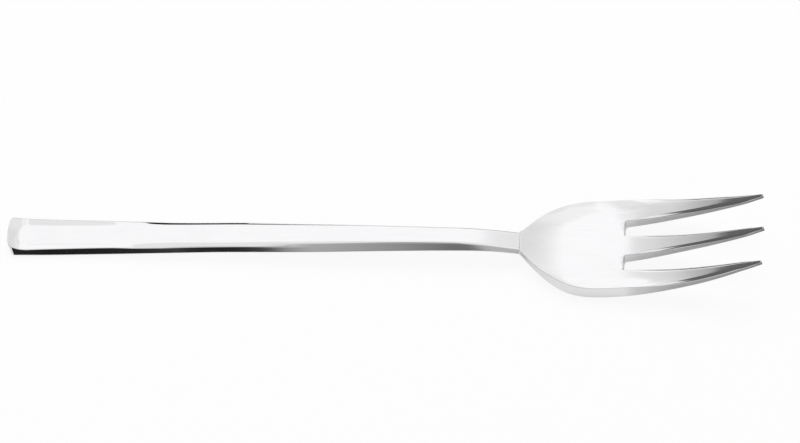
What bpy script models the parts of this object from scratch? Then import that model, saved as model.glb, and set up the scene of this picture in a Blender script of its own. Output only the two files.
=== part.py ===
"""Cake fork: a coined bar handle welded to a dished, three-tined head.

Metres, +Z up. The fork lies on its back: +X runs towards the tines, the origin is the middle of the
bounding box at the height of the surface it rests on. Stations are measured along X from the handle's end.
"""
import math

import bmesh
import bpy
from mathutils import Vector

# Lengths along the fork
HANDLE_LENGTH = 0.1020        # handle end to the weld line
HEAD_LENGTH = 0.0480          # weld line to the tip of the middle tine
TINE_LENGTH = 0.0274          # root of the gaps to the tip of the middle tine
OUTER_TINE_SHORTER = 0.0003   # the outer tips stop this far short of the middle one
CREST_TO_WELD = 0.0130        # highest place of the neck to the weld line
WELD_TO_BOWL = 0.0120         # weld line to the lowest place of the bowl
WELD_GAP = 0.0003             # clearance between the two faces that are welded

# Handle, seen from above
END_WIDTH = 0.0094            # across the flared end
FLARE_IN_LENGTH = 0.0420      # the sides draw in from the end to the bar over this length
FLARE_IN_POWER = 1.2          # how the sides draw in: 1 is a straight taper
BAR_WIDTH = 0.0074            # across the bar between the flared end and the neck
NECK_START = 0.0550           # station where the bar starts to narrow to the neck
NECK_TAPER = 0.0470           # length over which it narrows
NECK_WIDTH = 0.0054           # across the neck, where the handle meets the head
END_BOW = 0.0008              # how far the middle of the end stands out from its corners
END_CORNER = 0.0008           # rounding of the two corners, seen from above
END_UNDERCUT = 0.0005         # the end face leans in this far towards its lower edge
END_FADE = 0.0065             # the bow and the lean of the end have run out this far along
FLAT_WIDTH = 0.0049           # level strip between the two creases
FLAT_CORNER = 0.0013          # rounding of the strip's corners in the dish
FLAT_POWER = 5                # keeps that strip even until shortly before the crest
CREST_FLAT_WIDTH = 0.0039     # the same strip at the crest of the neck
WELD_FLAT_WIDTH = 0.0042      # the same strip at the weld line

# Handle, seen from the side
REST_LENGTH = 0.0075          # level underside at the end, which the fork rests on
END_FLOOR = 0.0013            # thickness under the dished end
DISH_RISE = 0.0009            # rim of the dished end above its floor
SIDE_RISE = 0.00020           # the lower rim along the sides of the dish
DISH_LENGTH = 0.0250          # the low rim runs out this far from the end
RIM_POWER = 5                 # how late the low rim comes down
DISH_RAMP = 0.0040            # length of the ramp from the dish floor up to the end
CREST_HEIGHT = 0.0048         # top of the neck's crest above the table
CREST_THICKNESS = 0.0020
ARCH_START = 0.7              # how steeply the handle sets out from its end: 0 is level
WELD_THICKNESS = 0.0016
HEEL_HEIGHT = 0.0005          # the sides are widest at this height above the underside
NECK_HEEL_HEIGHT = 0.0008     # the same at the weld line
NECK_HEEL_START = 0.0880
NECK_HEEL_BLEND = 0.0120
SIDE_LEAN = 0.53              # the sides lean in by this much of their height, 28 degrees
KEEL_INSET = 0.0006           # the underside is this much narrower on each side than the heel
BAND_WIDTH = 0.00068          # band between the flat and the side of the bar
BAND_BLEND = 0.0160           # length past the dish in which the rim becomes that band
BAND_DROP = 0.00028            # the band's outer edge has dropped by this much at the end of its length
BAND_START = 0.0215           # the band starts to drop here
BAND_LENGTH = 0.0100
ONE_FACET_START = 0.0450      # from here the band turns into one facet with the side
ONE_FACET_BLEND = 0.0170
DISH_CREASE_ROUND = 0.0005    # set-back of the soft crease beside the flat, along the dish
BAR_CREASE_ROUND = 0.00035    # the same along the bar, where the crease is crisp
SHOULDER_ROUND = 0.00018      # set-back of the rounded edge above the side
HEEL_ROUND = 0.00012          # set-back of the two crisp edges below the side
END_ROUND = 0.00012           # rounding round the end face

# Head, seen from above
HEAD_WIDTH = 0.0226
WIDEST_TO_TIP = 0.0295        # widest place of the head to the tip of the middle tine
COLLAR = 0.0004               # straight stretch of the head beside the weld line
FLARE_LENGTH = 0.0157         # length of the rounded flare from the neck to full width
FLARE_POWER = 2.35            # how quickly the flare turns from the neck to full width
TINE_TOE_IN = 0.0027          # the outline draws in this far on each side towards the tips
TOE_IN_POWER = 2.6
MIDDLE_ROOT_WIDTH = 0.0050    # middle tine at the root of the gaps
GAP_WIDTH = 0.0038            # gap between two tines at its root
GAP_CORNER = 0.00025          # rounding of the corners at the root of a gap
POINT_LENGTH = 0.0040         # the last of each tine, which narrows to a point
POINT_POWER = 1.5             # how round the point is drawn in
TINE_END_WIDTH = 0.0020       # width of a tine where its point starts
TIP_WIDTH = 0.0007            # blunt end of the point

# Head, seen from the side
BOWL_THICKNESS = 0.0023
NECK_ROUNDING = 0.0006        # the sheet's edges are thinner by this much beside the weld line
TIP_THICKNESS = 0.0010
TIP_HEIGHT = 0.0097           # top of the tips above the table
SWEEP_POWER = 1.75            # how the tines sweep up from the bowl
BOWL_DISH = 0.0006            # rim of the bowl above its middle line
DISH_START = 0.0080           # length past the weld line in which the dish forms
DISH_POWER = 4                # keeps the bowl flat across and lifts it near the rim
DISH_FADE = 0.0140            # length along the tines in which the dish runs out
HEAD_ROUND = 0.0002           # rounding of the edges of the head
EDGE_SOFT_LENGTH = 0.0130     # the tines' long edges are rounded over fully this far past the root
EDGE_SLOPE = 0.85             # how steeply a rounded edge falls away from the top
EDGE_UNDERCUT = 0.65          # share of the rounded strip by which the underside is narrower

# How finely the curves are drawn
HANDLE_STEP = 0.0020
BOWL_ROWS = 22
TINE_ROWS = 16
ROUND_STEPS = 3
ROW_POWER = 1.25              # puts the rows of the bowl closer together near the neck
EDGE_STRIP = 0.00045          # width of the strip of faces beside each edge of the head
EDGE_STRIP_LIMIT = 0.72       # share of a narrow tine's half width that the strip may take
TRIM_STOCK = 0.0012           # length of the head's blank that is cut off at the weld line
MIDDLE_SHARES = (0.0, 0.35, 0.7, 1.0)
GAP_SHARES = (0.08, 0.2, 0.4, 0.6, 0.8, 0.92)
OUTER_SHARES = (0.0, 0.33, 0.67, 1.0)

LENGTH = HANDLE_LENGTH + HEAD_LENGTH
CREST_STATION = HANDLE_LENGTH - CREST_TO_WELD
BOWL_STATION = HANDLE_LENGTH + WELD_TO_BOWL
ROOT_STATION = LENGTH - TINE_LENGTH
WIDEST_STATION = LENGTH - WIDEST_TO_TIP

STEEL = (0.80, 0.80, 0.81, 1.0)
HEAD_STEEL = (0.82, 0.82, 0.83, 1.0)


def clamp(value, low=0.0, high=1.0):
    """Value held between two bounds."""
    return max(low, min(high, value))


def smooth(value):
    """Rises from 0 to 1 with level ends."""
    t = clamp(value)
    return t * t * (3 - 2 * t)


def arch(value):
    """Rises from 0 to 1 like smooth, but sets out with a little slope and comes in level."""
    t = clamp(value)
    return smooth(t) + ARCH_START * t * (1 - t) ** 2


def mix(start, end, share):
    """Straight blend of two values."""
    return start + (end - start) * share


def world_x(station):
    """X of a station, with the middle of the fork at zero."""
    return station - LENGTH / 2


def handle_top(station):
    """Height of the level strip along the top of the handle."""
    if station <= CREST_STATION:
        return mix(END_FLOOR, CREST_HEIGHT, arch(station / CREST_STATION))
    return neck_top(station)


def neck_top(station):
    """The top runs down from the crest through the weld line to the bowl in one curve."""
    run = smooth((station - CREST_STATION) / (BOWL_STATION - CREST_STATION))
    return mix(CREST_HEIGHT, BOWL_THICKNESS, run)


def handle_bottom(station):
    """Height of the underside: level at the end, then rising under the crest."""
    crest = CREST_HEIGHT - CREST_THICKNESS
    if station <= CREST_STATION:
        return crest * arch((station - REST_LENGTH) / (CREST_STATION - REST_LENGTH))
    past_crest = smooth((station - CREST_STATION) / CREST_TO_WELD)
    return handle_top(station) - mix(CREST_THICKNESS, WELD_THICKNESS, past_crest)


def flat_half_width(station):
    """Half of the level strip between the creases, which narrows to the crest."""
    if station <= CREST_STATION:
        return mix(FLAT_WIDTH, CREST_FLAT_WIDTH, smooth(station / CREST_STATION) ** FLAT_POWER) / 2
    return mix(CREST_FLAT_WIDTH, WELD_FLAT_WIDTH, smooth((station - CREST_STATION) / CREST_TO_WELD)) / 2


def heel_half_width(station):
    """Half of the handle's width at its widest line: a flared end, an even bar and a narrower neck."""
    flare = clamp(1 - station / FLARE_IN_LENGTH) ** FLARE_IN_POWER
    neck = smooth((station - NECK_START) / NECK_TAPER)
    return (mix(BAR_WIDTH, END_WIDTH, flare) - neck * (BAR_WIDTH - NECK_WIDTH)) / 2


def heel_height(station):
    """Height of the widest line above the underside, more at the neck, where the sides lean further in."""
    return mix(HEEL_HEIGHT, NECK_HEEL_HEIGHT, smooth((station - NECK_HEEL_START) / NECK_HEEL_BLEND))


def end_ramp(station):
    """Height that the dish's ramp adds towards the end of the handle."""
    return DISH_RISE * clamp(1 - station / DISH_RAMP) ** 2


def shoulder_point(station, crease, heel):
    """Edge between the band beside the flat and the leaning side.

    Along the dish the band rises to it. Past the dish the band slopes down more and more, until it is one
    facet with the side.
    """
    rise = SIDE_RISE * (1 - clamp(station / DISH_LENGTH) ** RIM_POWER)
    drop = BAND_DROP * clamp((station - BAND_START) / BAND_LENGTH)
    height = crease.y + rise - drop
    rim = Vector((heel.x - SIDE_LEAN * (height - heel.y), height))
    band = Vector((crease.x + BAND_WIDTH, height))
    shoulder = rim.lerp(band, smooth((station - DISH_LENGTH) / BAND_BLEND))
    return shoulder.lerp(crease.lerp(heel, 0.5), smooth((station - ONE_FACET_START) / ONE_FACET_BLEND))


def rounded_corner(before, corner, after, set_back):
    """Points of a soft corner in a section: a quadratic curve that uses less than half of each side."""
    start = corner + (before - corner).normalized() * min(set_back, (before - corner).length * 0.45)
    end = corner + (after - corner).normalized() * min(set_back, (after - corner).length * 0.45)
    points = []
    for step in range(ROUND_STEPS):
        t = step / (ROUND_STEPS - 1)
        points.append(start * (1 - t) ** 2 + corner * (2 * t * (1 - t)) + end * t ** 2)
    return points


def drawn_in(distance, radius):
    """How far a quarter-round edge of this radius lies inside its square corner, at a distance from the end."""
    left = radius - min(distance, radius)
    return radius - math.sqrt(radius ** 2 - left ** 2)


def handle_half_section(station):
    """Half of the handle's outline across Y, from the middle of the top round to the middle underneath."""
    round_in = drawn_in(station, END_ROUND)
    corner_in = drawn_in(station, END_CORNER)
    floor = handle_top(station) + end_ramp(station) - round_in
    bottom = handle_bottom(station) + round_in
    flat_corner_in = drawn_in(max(station - DISH_RAMP / 2, 0), FLAT_CORNER)
    crease = Vector((flat_half_width(station) - flat_corner_in, floor))
    heel = Vector((heel_half_width(station) - corner_in, handle_bottom(station) + heel_height(station)))
    shoulder = shoulder_point(station, crease, heel)
    keel_edge = Vector((heel.x - KEEL_INSET, bottom))
    middle = Vector((0, crease.y))
    keel = Vector((0, bottom))
    top = [middle]
    past_dish = smooth((station - DISH_LENGTH) / BAND_BLEND)
    crease_round = mix(DISH_CREASE_ROUND, BAR_CREASE_ROUND, past_dish)
    top += rounded_corner(middle, crease, shoulder, crease_round)
    top += rounded_corner(crease, shoulder, heel, SHOULDER_ROUND)
    underside = rounded_corner(shoulder, heel, keel_edge, HEEL_ROUND)
    underside += rounded_corner(heel, keel_edge, keel, HEEL_ROUND)
    underside.append(keel)
    return top + underside


def end_shift(station, y, z):
    """How far the bowed, leaning end face moves a point towards the neck."""
    fade = clamp(1 - station / END_FADE) ** 2
    bow = END_BOW * (2 * y / END_WIDTH) ** 2
    lean = END_UNDERCUT * clamp(1 - z / (END_FLOOR + DISH_RISE))
    return (bow + lean) * fade


def handle_stations():
    """Stations of the handle's sections, close together round the end."""
    stations = [END_ROUND * (1 - math.cos(math.pi / 2 * step / ROUND_STEPS)) for step in range(ROUND_STEPS)]
    stations += [END_CORNER * share for share in (0.3, 0.6, 1.0)]
    fine_end = DISH_RAMP * 1.5
    fine_steps = 6
    stations += [mix(END_CORNER, fine_end, (step + 1) / fine_steps) for step in range(fine_steps)]
    handle_end = HANDLE_LENGTH - WELD_GAP / 2
    count = math.ceil((handle_end - fine_end) / HANDLE_STEP)
    stations += [mix(fine_end, handle_end, (step + 1) / count) for step in range(count)]
    return stations


def build_handle(material):
    """Loft the handle through its half sections and mirror it."""
    mesh = bmesh.new()
    rings = []
    for station in handle_stations():
        ring = []
        for point in handle_half_section(station):
            x = world_x(station) + end_shift(station, point.x, point.y)
            ring.append(mesh.verts.new((x, point.x, point.y)))
        rings.append(ring)
    for near, far in zip(rings, rings[1:]):
        for index in range(len(near) - 1):
            mesh.faces.new((near[index], far[index], far[index + 1], near[index + 1]))
    for ring, at_weld in ((rings[0], False), (rings[-1], True)):
        last = len(ring) - 1
        for index in range(last // 2):
            corners = (ring[index], ring[index + 1], ring[last - index - 1], ring[last - index])
            mesh.faces.new(corners[::-1] if at_weld else corners)
    handle = new_object("handle", mesh, material)
    add_mirror(handle)
    return handle


def head_half_width(station):
    """Half of the head's outline: a rounded flare from the neck, then a gentle draw-in to the tips."""
    flare = clamp((station - HANDLE_LENGTH - COLLAR) / FLARE_LENGTH)
    width = mix(NECK_WIDTH / 2, HEAD_WIDTH / 2, 1 - (1 - flare) ** FLARE_POWER)
    past_widest = clamp((station - WIDEST_STATION) / WIDEST_TO_TIP)
    return width - TINE_TOE_IN * past_widest ** TOE_IN_POWER


def head_top(station, y):
    """Height of the head's upper face."""
    if station <= BOWL_STATION:
        middle = neck_top(station)
    else:
        sweep = (station - BOWL_STATION) / (LENGTH - BOWL_STATION)
        middle = mix(BOWL_THICKNESS, TIP_HEIGHT, sweep ** SWEEP_POWER)
    dish = smooth((station - HANDLE_LENGTH) / DISH_START) * (1 - smooth((station - ROOT_STATION) / DISH_FADE))
    return middle + BOWL_DISH * dish * clamp(abs(y) / head_half_width(station)) ** DISH_POWER


def head_thickness(station, y):
    """Thickness of the pressed sheet: rounded off underneath at the neck, and thinner towards the tips."""
    if station > ROOT_STATION:
        return mix(BOWL_THICKNESS, TIP_THICKNESS, (station - ROOT_STATION) / TINE_LENGTH)
    past_weld = smooth((station - HANDLE_LENGTH) / WELD_TO_BOWL)
    towards_edge = clamp(abs(y) / head_half_width(station))
    rounded_off = NECK_ROUNDING * (1 - past_weld) * towards_edge ** 2
    return mix(WELD_THICKNESS, BOWL_THICKNESS, past_weld) - rounded_off


def point_half_width(half_width, along_point):
    """Half width along the point of a tine."""
    return mix(half_width, TIP_WIDTH / 2, clamp(along_point) ** POINT_POWER)


def middle_tine_edge(station):
    """Half width of the middle tine: a straight taper and a point."""
    point_start = LENGTH - POINT_LENGTH
    taper = clamp((station - ROOT_STATION) / (point_start - ROOT_STATION))
    half = mix(MIDDLE_ROOT_WIDTH, TINE_END_WIDTH, taper) / 2
    return point_half_width(half, (station - point_start) / POINT_LENGTH)


def outer_tine_edges(station):
    """Inner and outer edge of an outer tine, measured from the middle of the fork."""
    tip = LENGTH - OUTER_TINE_SHORTER
    point_start = tip - POINT_LENGTH
    taper = clamp((station - ROOT_STATION) / (point_start - ROOT_STATION))
    inner_root = MIDDLE_ROOT_WIDTH / 2 + GAP_WIDTH
    inner_end = head_half_width(point_start) - TINE_END_WIDTH
    inner = mix(inner_root, inner_end, taper)
    outer = head_half_width(min(station, point_start))
    middle = (inner + outer) / 2
    half = point_half_width((outer - inner) / 2, (station - point_start) / POINT_LENGTH)
    return middle - half, middle + half


def middle_columns(station):
    """Columns across half of the middle tine, with a narrow strip beside its edge."""
    edge = middle_tine_edge(station)
    strip = min(EDGE_STRIP, edge * EDGE_STRIP_LIMIT)
    return [share * (edge - strip) for share in MIDDLE_SHARES] + [edge]


def outer_columns(station):
    """Columns across an outer tine, with a narrow strip beside each edge."""
    inner, outer = outer_tine_edges(station)
    strip = min(EDGE_STRIP, (outer - inner) / 2 * EDGE_STRIP_LIMIT)
    return [inner] + [mix(inner + strip, outer - strip, share) for share in OUTER_SHARES] + [outer]


def gap_corner_shift(share):
    """How far the rounded root of a gap moves towards the tips, at a share of the gap's width."""
    from_side = (0.5 - abs(share - 0.5)) * GAP_WIDTH
    return drawn_in(from_side, GAP_CORNER)


def bowl_stations():
    """Stations of the rows from the neck to the root, close together in the flare."""
    start = HANDLE_LENGTH - TRIM_STOCK
    end = ROOT_STATION - GAP_CORNER
    return [mix(start, end, (row / (BOWL_ROWS - 1)) ** ROW_POWER) for row in range(BOWL_ROWS)]


def build_head_sheet(mesh):
    """Upper face of half the head, as rows of faces that part into tines at the root."""
    middle = middle_columns(ROOT_STATION)
    outer = outer_columns(ROOT_STATION)
    gap = [mix(middle[-1], outer[0], share) for share in GAP_SHARES]
    columns = middle + gap + outer
    inside_edge = columns[-1] - EDGE_STRIP
    rows = []
    for station in bowl_stations():
        half = head_half_width(station)
        across = [(half - EDGE_STRIP) * y / inside_edge for y in columns[:-1]]
        rows.append([new_point(mesh, station, y) for y in across + [half]])
    root_row = []
    for y in columns:
        shift = gap_corner_shift(clamp((y - middle[-1]) / (outer[0] - middle[-1])))
        root_row.append(new_point(mesh, ROOT_STATION + shift, y))
    rows.append(root_row)
    for near, far in zip(rows, rows[1:]):
        join_rows(mesh, near, far)
    outer_edge = (-1, -2)
    inner_edge = (0, 1)
    build_tine(mesh, root_row[:len(middle)], LENGTH, middle_columns, [outer_edge])
    outer_tip = LENGTH - OUTER_TINE_SHORTER
    build_tine(mesh, root_row[-len(outer):], outer_tip, outer_columns, [outer_edge, inner_edge])


def build_tine(mesh, first_row, tip, columns_at, edges):
    """Rows of faces from the root of the gaps to the tip of one tine.

    The points of its long edges note how far the rounding of the edge goes in from them.
    """
    soft_edge = mesh.verts.layers.float["soft edge"]
    start = ROOT_STATION + GAP_CORNER
    near = first_row
    for row in range(TINE_ROWS):
        station = mix(start, tip, (row + 1) / TINE_ROWS)
        columns = columns_at(station)
        far = [new_point(mesh, station, y) for y in columns]
        softness = smooth((station - ROOT_STATION) / EDGE_SOFT_LENGTH)
        for edge, beside in edges:
            far[edge][soft_edge] = softness * (columns[beside] - columns[edge])
        join_rows(mesh, near, far)
        near = far


def add_underside(mesh):
    """Give the sheet its thickness, and round over the tines' long edges.

    The underside is joined to the upper face along every edge but the open middle. A rounded edge is
    lowered above and narrower underneath.
    """
    soft_edge = mesh.verts.layers.float["soft edge"]
    below = mesh.verts.layers.float_vector["below"]
    mesh.normal_update()
    for point in mesh.verts:
        thickness = head_thickness(point.co.x + LENGTH / 2, point.co.y)
        point[below] = Vector((0, EDGE_UNDERCUT * point[soft_edge], 0)) - thickness * point.normal
    upper = mesh.verts[:]
    middle = {edge for edge in mesh.edges if all(point.co.y == 0 for point in edge.verts)}
    faces = mesh.faces[:]
    copied = bmesh.ops.extrude_face_region(mesh, geom=faces, edges_exclude=middle, use_keep_orig=True)
    for item in copied["geom"]:
        if isinstance(item, bmesh.types.BMVert):
            item.co += item[below]
    for point in upper:
        point.co.z -= EDGE_SLOPE * abs(point[soft_edge])
    bmesh.ops.recalc_face_normals(mesh, faces=mesh.faces[:])


def new_point(mesh, station, y):
    """Point of the head's upper face."""
    return mesh.verts.new((world_x(station), y, head_top(station, y)))


def join_rows(mesh, near, far):
    """Faces between two rows of points, facing up."""
    for index in range(len(near) - 1):
        mesh.faces.new((near[index], far[index], far[index + 1], near[index + 1]))


def build_head(material, weld_cutter):
    """Sheet with its thickness, softened edges and a flat face at the weld line."""
    mesh = bmesh.new()
    mesh.verts.layers.float.new("soft edge")
    mesh.verts.layers.float_vector.new("below")
    build_head_sheet(mesh)
    add_underside(mesh)
    head = new_object("head", mesh, material)
    add_mirror(head)
    bevel = head.modifiers.new("Soft edges", "BEVEL")
    bevel.width = HEAD_ROUND
    bevel.segments = 2
    bevel.limit_method = "ANGLE"
    bevel.angle_limit = math.radians(50)
    cut = head.modifiers.new("Weld face", "BOOLEAN")
    cut.operation = "DIFFERENCE"
    cut.solver = "EXACT"
    cut.object = weld_cutter
    return head


def build_weld_cutter():
    """Block that trims the head square at the weld line."""
    size = Vector((TRIM_STOCK * 3, HEAD_WIDTH, HEAD_WIDTH))
    bpy.ops.mesh.primitive_cube_add(size=1)
    cutter = bpy.context.object
    cutter.name = "weld_cutter"
    cutter.scale = size
    cutter.location = (world_x(HANDLE_LENGTH + WELD_GAP / 2) - size.x / 2, 0, neck_top(HANDLE_LENGTH))
    bpy.ops.object.transform_apply(location=False, rotation=False, scale=True)
    cutter.hide_render = True
    cutter.display_type = "WIRE"
    move_to(cutter, "Cutters")
    return cutter


def add_mirror(item):
    """Mirror a half that is open at the plane Y = 0."""
    mirror = item.modifiers.new("Other half", "MIRROR")
    mirror.use_axis = (False, True, False)
    mirror.merge_threshold = 0.000001


def new_object(name, mesh, material):
    """Object made from an edited mesh, shaded smooth with its real edges kept sharp."""
    data = bpy.data.meshes.new(name)
    mesh.normal_update()
    mesh.to_mesh(data)
    mesh.free()
    data.materials.append(material)
    data.shade_smooth()
    data.set_sharp_from_angle(angle=math.radians(40))
    item = bpy.data.objects.new(name, data)
    bpy.context.scene.collection.objects.link(item)
    move_to(item, "Cake fork")
    return item


def move_to(item, collection_name):
    """Put an object in one named collection only."""
    collection = bpy.data.collections.get(collection_name)
    if collection is None:
        collection = bpy.data.collections.new(collection_name)
        bpy.context.scene.collection.children.link(collection)
    for other in list(item.users_collection):
        other.objects.unlink(item)
    collection.objects.link(item)


def steel(name, colour, roughness):
    """Polished stainless steel."""
    material = bpy.data.materials.new(name)
    material.use_nodes = True
    shader = material.node_tree.nodes["Principled BSDF"]
    shader.inputs["Base Color"].default_value = colour
    shader.inputs["Metallic"].default_value = 1.0
    shader.inputs["Roughness"].default_value = roughness
    return material


def main():
    for item in list(bpy.data.objects):
        bpy.data.objects.remove(item, do_unlink=True)
    build_handle(steel("handle steel", STEEL, 0.10))
    build_head(steel("head steel", HEAD_STEEL, 0.12), build_weld_cutter())


main()
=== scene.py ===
"""Cake fork, dressed: a coined bar handle welded to a pressed three-tined head, in polished stainless steel.

Metres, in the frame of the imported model: +X runs towards the tines, +Z is up and the fork rests on Z = 0.
Stations are measured along X from the handle's end.
"""
import math

import bmesh
import bpy
from mathutils import Matrix, Vector


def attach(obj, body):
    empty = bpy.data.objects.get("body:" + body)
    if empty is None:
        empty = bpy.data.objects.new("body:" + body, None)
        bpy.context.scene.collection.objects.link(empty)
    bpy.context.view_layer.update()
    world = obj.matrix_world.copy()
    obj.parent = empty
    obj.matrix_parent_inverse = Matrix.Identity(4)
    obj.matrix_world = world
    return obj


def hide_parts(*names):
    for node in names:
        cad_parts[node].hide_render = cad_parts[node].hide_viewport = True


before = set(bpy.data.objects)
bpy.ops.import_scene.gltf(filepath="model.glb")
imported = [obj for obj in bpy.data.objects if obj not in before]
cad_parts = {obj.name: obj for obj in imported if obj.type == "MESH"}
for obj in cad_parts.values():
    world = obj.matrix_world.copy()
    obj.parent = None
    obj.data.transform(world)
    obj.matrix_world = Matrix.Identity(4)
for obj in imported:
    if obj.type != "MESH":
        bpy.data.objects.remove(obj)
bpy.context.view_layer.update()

# Lengths along the fork
HANDLE_LENGTH = 0.1020        # handle end to the weld line
HEAD_LENGTH = 0.0480          # weld line to the tip of the middle tine
LENGTH = HANDLE_LENGTH + HEAD_LENGTH
TINE_LENGTH = 0.0274          # root of the gaps to the tip of the middle tine
OUTER_TINE_SHORTER = 0.0003   # the outer tips stop this far short of the middle one
CREST_TO_WELD = 0.0130        # highest place of the neck to the weld line
WELD_TO_BOWL = 0.0120         # weld line to the lowest place of the bowl
WELD_SEAM = 0.00003           # the hairline left between handle and head
CREST_STATION = HANDLE_LENGTH - CREST_TO_WELD
BOWL_STATION = HANDLE_LENGTH + WELD_TO_BOWL
ROOT_STATION = LENGTH - TINE_LENGTH

# Handle, seen from above
END_WIDTH = 0.0094            # across the flared end
FLARE_IN_LENGTH = 0.0420      # the sides draw in from the end to the bar over this length
FLARE_IN_POWER = 1.2          # how the sides draw in: 1 is a straight taper
BAR_WIDTH = 0.0074            # across the bar between the flared end and the neck
NECK_START = 0.0550           # station where the bar starts to narrow to the neck
NECK_TAPER = 0.0470           # length over which it narrows
NECK_WIDTH = 0.0054           # across the neck, where the handle meets the head
END_BOW = 0.0008              # how far the middle of the end stands out from its corners
END_CORNER = 0.0008           # rounding of the two corners, seen from above
END_UNDERCUT = 0.0005         # the end face leans in this far towards its lower edge
END_FADE = 0.0065             # the bow and the lean of the end have run out this far along
FLAT_WIDTH = 0.0049           # level strip between the two creases
FLAT_CORNER = 0.0013          # rounding of the strip's corners in the dish
FLAT_POWER = 5                # keeps that strip even until shortly before the crest
CREST_FLAT_WIDTH = 0.0039     # the same strip at the crest of the neck
WELD_FLAT_WIDTH = 0.0042      # the same strip at the weld line

# Handle, seen from the side
REST_LENGTH = 0.0075          # level underside at the end, which the fork rests on
END_FLOOR = 0.0013            # thickness under the dished end
DISH_RISE = 0.0009            # rim of the dished end above its floor
SIDE_RISE = 0.00020           # the lower rim along the sides of the dish
DISH_LENGTH = 0.0250          # the low rim runs out this far from the end
RIM_POWER = 5                 # how late the low rim comes down
DISH_RAMP = 0.0040            # length of the ramp from the dish floor up to the end
CREST_HEIGHT = 0.0048         # top of the neck's crest above the table
CREST_THICKNESS = 0.0020
ARCH_START = 0.7              # how steeply the handle sets out from its end: 0 is level
WELD_THICKNESS = 0.0016
HEEL_HEIGHT = 0.0005          # the sides are widest at this height above the underside
NECK_HEEL_HEIGHT = 0.0008     # the same at the weld line
NECK_HEEL_START = 0.0880
NECK_HEEL_BLEND = 0.0120
SIDE_LEAN = 0.53              # the sides lean in by this much of their height, 28 degrees
KEEL_INSET = 0.0006           # the underside is this much narrower on each side than the heel
BAND_WIDTH = 0.00068          # band between the flat and the side of the bar
BAND_BLEND = 0.0160           # length past the dish in which the rim becomes that band
BAND_DROP = 0.00028           # the band's outer edge has dropped by this much at the end of its length
BAND_START = 0.0215           # the band starts to drop here
BAND_LENGTH = 0.0100
ONE_FACET_START = 0.0450      # from here the band turns into one facet with the side
ONE_FACET_BLEND = 0.0170
DISH_CREASE_ROUND = 0.0005    # set-back of the soft crease beside the flat, along the dish
BAR_CREASE_ROUND = 0.00035    # the same along the bar, where the crease is crisp
SHOULDER_ROUND = 0.00018      # set-back of the rounded edge above the side
HEEL_ROUND = 0.00012          # set-back of the two crisp edges below the side
END_ROUND = 0.00012           # rounding round the end face

# Head
HEAD_WIDTH = 0.0226
WIDEST_TO_TIP = 0.0295        # widest place of the head to the tip of the middle tine
COLLAR = 0.0004               # straight stretch of the head beside the weld line
FLARE_LENGTH = 0.0157         # length of the rounded flare from the neck to full width
FLARE_POWER = 2.35            # how quickly the flare turns from the neck to full width
TINE_TOE_IN = 0.0027          # the outline draws in this far on each side towards the tips
TOE_IN_POWER = 2.6
MIDDLE_ROOT_WIDTH = 0.0050    # middle tine at the root of the gaps
GAP_WIDTH = 0.0038            # gap between two tines at its root
GAP_CORNER = 0.00025          # rounding of the corners at the root of a gap
POINT_LENGTH = 0.0040         # the last of each tine, which narrows to a point
POINT_POWER = 1.5             # how round the point is drawn in
TINE_END_WIDTH = 0.0020       # width of a tine where its point starts
TIP_WIDTH = 0.0007            # blunt end of the point
BOWL_THICKNESS = 0.0023
NECK_ROUNDING = 0.0006        # the sheet's edges are thinner by this much beside the weld line
TIP_THICKNESS = 0.0010
TIP_HEIGHT = 0.0097           # top of the tips above the table
SWEEP_POWER = 1.75            # how the tines sweep up from the bowl
BOWL_DISH = 0.0006            # rim of the bowl above its middle line
DISH_START = 0.0080           # length past the weld line in which the dish forms
DISH_POWER = 4                # keeps the bowl flat across and lifts it near the rim
DISH_FADE = 0.0140            # length along the tines in which the dish runs out
HEAD_ROUND = 0.0002           # rounding of the edges of the head
EDGE_SOFT_LENGTH = 0.0130     # the tines' long edges are rounded over fully this far past the root
EDGE_SLOPE = 0.85             # how steeply a rounded edge falls away from the top
EDGE_UNDERCUT = 0.65          # share of the rounded strip by which the underside is narrower
ROOT_ROLL = 0.00025           # how far the edge at a gap's root is rolled over

# How finely the pieces are drawn
STATION_STEP = 0.0006         # between two sections of the handle
END_STEPS = 5                 # sections round the edge of the end, and again over its corners
RAMP_STEPS = 18               # sections along the dish's ramp and on to RAMP_REACH times its length
RAMP_REACH = 1.5
CORNER_STEPS = 7              # points round a soft corner of a section
CORNER_REACH = 0.4            # share of a side that a soft corner may take
CORNER_LEAD = 0.00006         # a short flat run before each corner keeps the flats flat
FLAT_STEPS = 5                # points across half of the flat
BOWL_ROWS = 26                # rows of the head from the weld to the gaps' roots
TINE_ROWS = 20                # rows along the tines
ROW_POWER = 1.25              # puts the rows of the bowl closer together near the neck
EDGE_STRIP = 0.00045          # width of the strip of faces beside each edge of the head
EDGE_STRIP_LIMIT = 0.72       # share of a narrow tine's half width that the strip may take
HEAD_LEVELS = 2               # how often the head's faces are split in four
BEVEL_ANGLE = 50              # degrees between faces from which an edge of the head is rounded
SHARP_ANGLE = 60              # degrees between faces from which an edge is shaded sharp
MERGE_DISTANCE = 0.000001     # points closer than this become one

# Steel of each piece
HANDLE_COLOUR = (0.78, 0.78, 0.79)
HANDLE_ROUGHNESS = 0.06
HANDLE_GRAIN = 0.02           # the smaller, the longer the hairlines along the piece
HEAD_COLOUR = (0.79, 0.79, 0.80)
HEAD_ROUGHNESS = 0.08
HEAD_GRAIN = 0.03

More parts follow.
